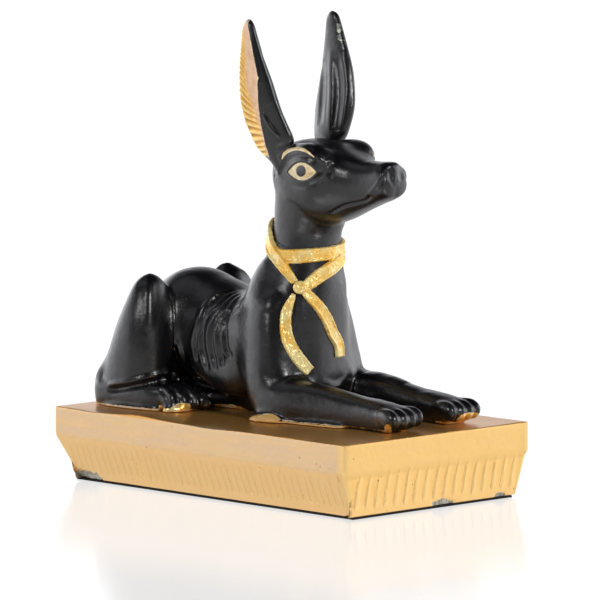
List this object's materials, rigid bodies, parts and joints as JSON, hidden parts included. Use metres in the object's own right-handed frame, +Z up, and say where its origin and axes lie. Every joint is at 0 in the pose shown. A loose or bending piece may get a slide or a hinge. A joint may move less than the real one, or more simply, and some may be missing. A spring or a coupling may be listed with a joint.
{
  "type": "anubis jackal figure",
  "caption": "Recumbent black jackal with tall ears and a gilt sash, cast as a small souvenir statue on a low gilt plinth with fluted, inward-sloping sides.",
  "frame": {"origin": "centre of the underside, on the surface it stands on", "axes": "+X the way the jackal looks, +Y its left side, +Z up"},
  "size_m": [0.16, 0.0986, 0.182],
  "materials": {
    "black_paint": "satin",
    "gold_paint": "satin",
    "felt": "matte"
  },
  "bodies": {
    "root": {"jackal": "black_paint", "plinth": "gold_paint", "felt_pad": "felt"}
  },
  "joints": []
}
